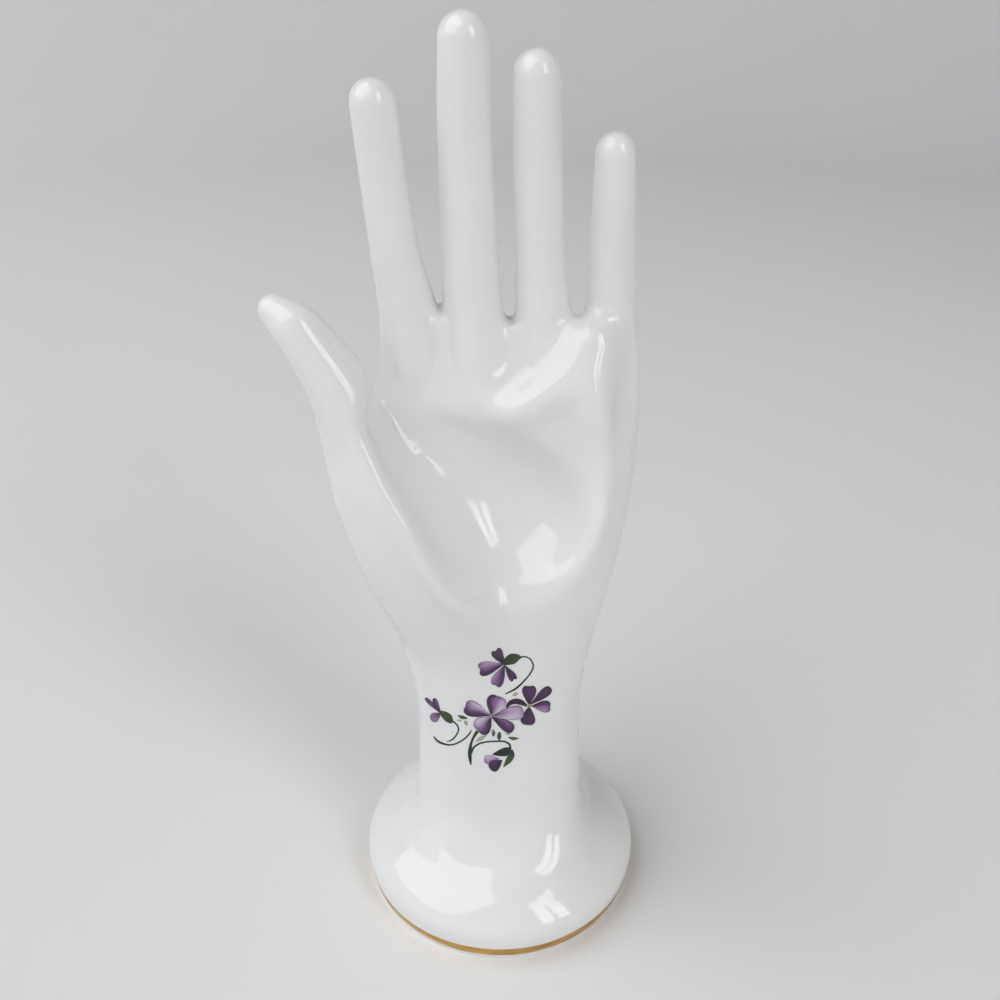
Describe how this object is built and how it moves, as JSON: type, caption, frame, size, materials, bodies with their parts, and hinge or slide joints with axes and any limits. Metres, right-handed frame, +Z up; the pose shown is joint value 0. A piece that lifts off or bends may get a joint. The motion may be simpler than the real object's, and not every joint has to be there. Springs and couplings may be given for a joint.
{
  "type": "hand jewelry stand",
  "caption": "Upright porcelain hand on a round foot, with spread fingers and thumb that hold rings, bracelets and necklaces.",
  "frame": {"origin": "on the table, under the middle of the whole width from the thumb's tip to the foot's right edge, and in the middle of the foot front to back; the foot's own middle is 5.3 mm to the right of it", "axes": "+Z up along the wrist to the fingertips, -Y towards the viewer of the palm, +X to the little finger's side; the thumb is at -X"},
  "size_m": [0.0798, 0.0692, 0.2031],
  "materials": {
    "white_porcelain": "polished"
  },
  "bodies": {
    "root": {"porcelain_hand": "white_porcelain"}
  },
  "joints": []
}
